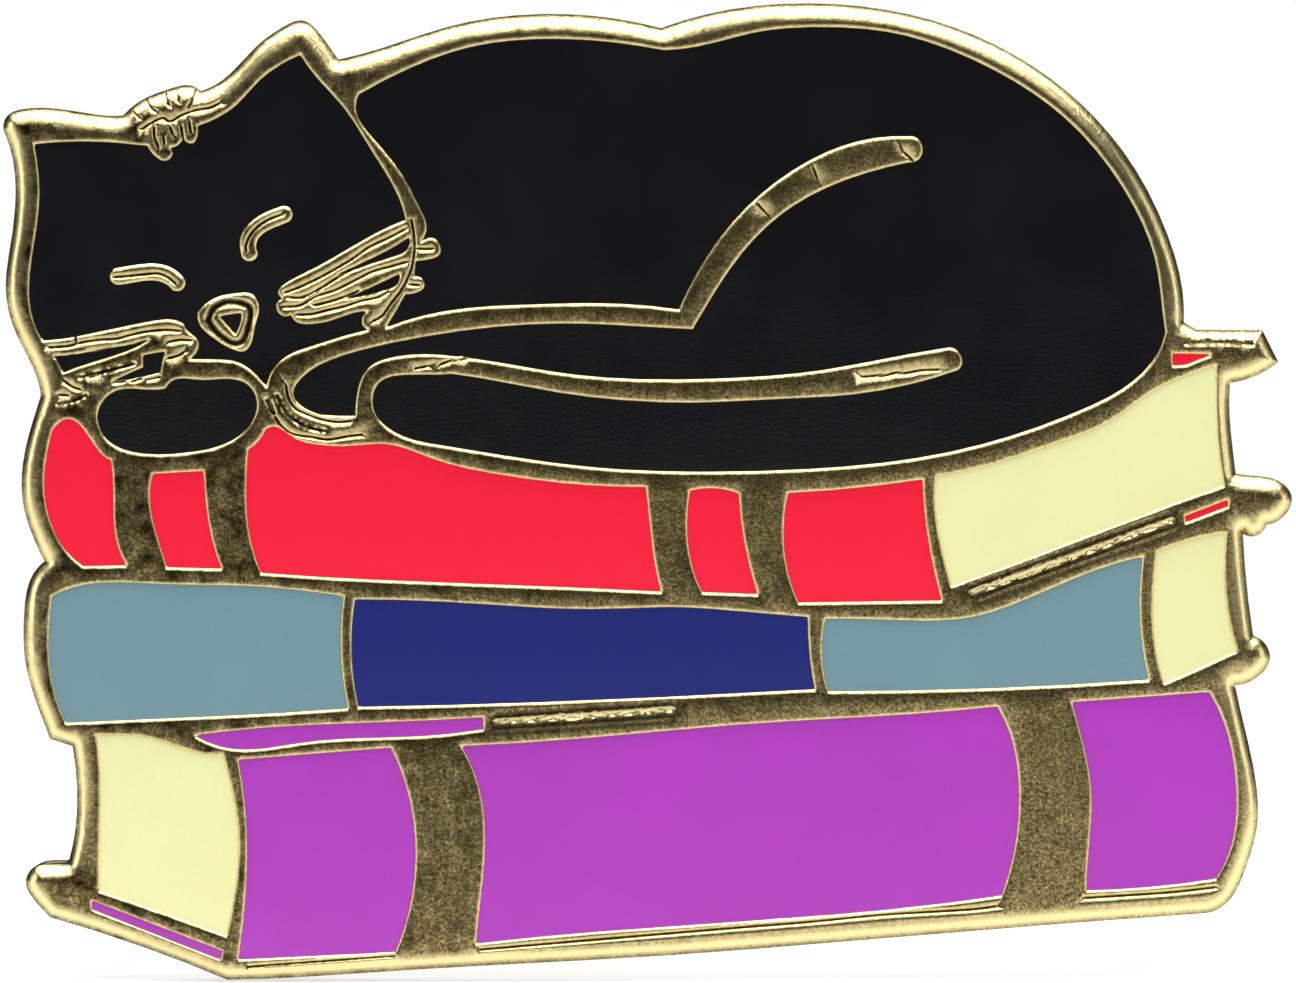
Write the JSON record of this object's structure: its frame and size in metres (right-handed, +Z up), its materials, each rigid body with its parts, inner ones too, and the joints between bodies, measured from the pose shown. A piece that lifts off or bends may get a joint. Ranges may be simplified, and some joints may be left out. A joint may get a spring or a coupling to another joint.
{
  "type": "enamel pin",
  "caption": "Flat die-struck enamel pin shaped as a black cat asleep on stacked books, gold-coloured metal lines, with nail posts and butterfly clutches on the back.",
  "frame": {"origin": "middle of the flat back, midway between the two posts", "axes": "+Y out of the back along the posts, -Y out of the enamelled face, +X to the viewer's right when looking at the face, +Z up as worn"},
  "size_m": [0.0323, 0.0099, 0.0244],
  "materials": {
    "gold_plate": "polished",
    "black_enamel": "gloss",
    "red_enamel": "gloss",
    "cream_enamel": "gloss",
    "light_blue_enamel": "gloss",
    "navy_enamel": "gloss",
    "purple_enamel": "gloss",
    "post_plate": "polished",
    "solder": "satin",
    "clutch_plate": "polished",
    "clip_spring": "polished"
  },
  "bodies": {
    "pin": {"die_struck_base": "gold_plate", "enamel_black_head": "black_enamel", "enamel_black_nose": "black_enamel", "enamel_black_whisker_right_upper": "black_enamel", "enamel_black_whisker_right_lower": "black_enamel", "enamel_black_whisker_left_upper": "black_enamel", "enamel_black_whisker_left_lower": "black_enamel", "enamel_black_paw": "black_enamel", "enamel_black_body": "black_enamel", "enamel_red_spine_end": "red_enamel", "enamel_red_band_left": "red_enamel", "enamel_red_title_panel": "red_enamel", "enamel_red_band_right": "red_enamel", "enamel_red_cover_end": "red_enamel", "enamel_red_top_edge": "red_enamel", "enamel_red_lower_edge": "red_enamel", "enamel_cream_top_pages": "cream_enamel", "enamel_cream_middle_pages": "cream_enamel", "enamel_cream_bottom_pages": "cream_enamel", "enamel_blue_spine_left": "light_blue_enamel", "enamel_blue_spine_right": "light_blue_enamel", "enamel_navy_title_panel": "navy_enamel", "enamel_purple_spine_left": "purple_enamel", "enamel_purple_title_panel": "purple_enamel", "enamel_purple_spine_right": "purple_enamel", "enamel_purple_top_edge": "purple_enamel", "enamel_purple_lower_edge": "purple_enamel", "post_left": "post_plate", "post_right": "post_plate", "solder_left": "solder", "solder_right": "solder"},
    "disc_left": {"clutch_disc_left": "clutch_plate"},
    "cage_left": {"clutch_cage_left": "clutch_plate", "clutch_clip_left": "clip_spring"},
    "low_leaf_left": {"clutch_low_leaf_left": "clip_spring"},
    "high_leaf_left": {"clutch_high_leaf_left": "clip_spring"},
    "disc_right": {"clutch_disc_right": "clutch_plate"},
    "cage_right": {"clutch_cage_right": "clutch_plate", "clutch_clip_right": "clip_spring"},
    "low_leaf_right": {"clutch_low_leaf_right": "clip_spring"},
    "high_leaf_right": {"clutch_high_leaf_right": "clip_spring"}
  },
  "joints": [
    {"name": "clutch_slide_left", "type": "slide", "parent": "pin", "child": "disc_left", "axis": [0, 1, 0], "range_m": [0, 0.012]},
    {"name": "cage_swivel_left", "type": "hinge", "parent": "disc_left", "child": "cage_left", "pos_m": [-0.008, 0.0039, 0], "axis": [0, 1, 0], "continuous": true},
    {"name": "low_leaf_squeeze_left", "type": "hinge", "parent": "cage_left", "child": "low_leaf_left", "pos_m": [-0.0101, 0.00569, 0], "axis": [0, 0, 1], "range_deg": [0, 8], "stiffness_Nm_per_rad": 0.2},
    {"name": "high_leaf_squeeze_left", "type": "hinge", "parent": "cage_left", "child": "high_leaf_left", "pos_m": [-0.00597, 0.00668, 0], "axis": [0, 0, -1], "range_deg": [0, 8], "stiffness_Nm_per_rad": 0.2},
    {"name": "clutch_slide_right", "type": "slide", "parent": "pin", "child": "disc_right", "axis": [0, 1, 0], "range_m": [0, 0.012]},
    {"name": "cage_swivel_right", "type": "hinge", "parent": "disc_right", "child": "cage_right", "pos_m": [0.008, 0.0039, 0], "axis": [0, 1, 0], "continuous": true},
    {"name": "low_leaf_squeeze_right", "type": "hinge", "parent": "cage_right", "child": "low_leaf_right", "pos_m": [0.0059, 0.00569, 0], "axis": [0, 0, 1], "range_deg": [0, 8], "stiffness_Nm_per_rad": 0.2},
    {"name": "high_leaf_squeeze_right", "type": "hinge", "parent": "cage_right", "child": "high_leaf_right", "pos_m": [0.01003, 0.00668, 0], "axis": [0, 0, -1], "range_deg": [0, 8], "stiffness_Nm_per_rad": 0.2}
  ]
}
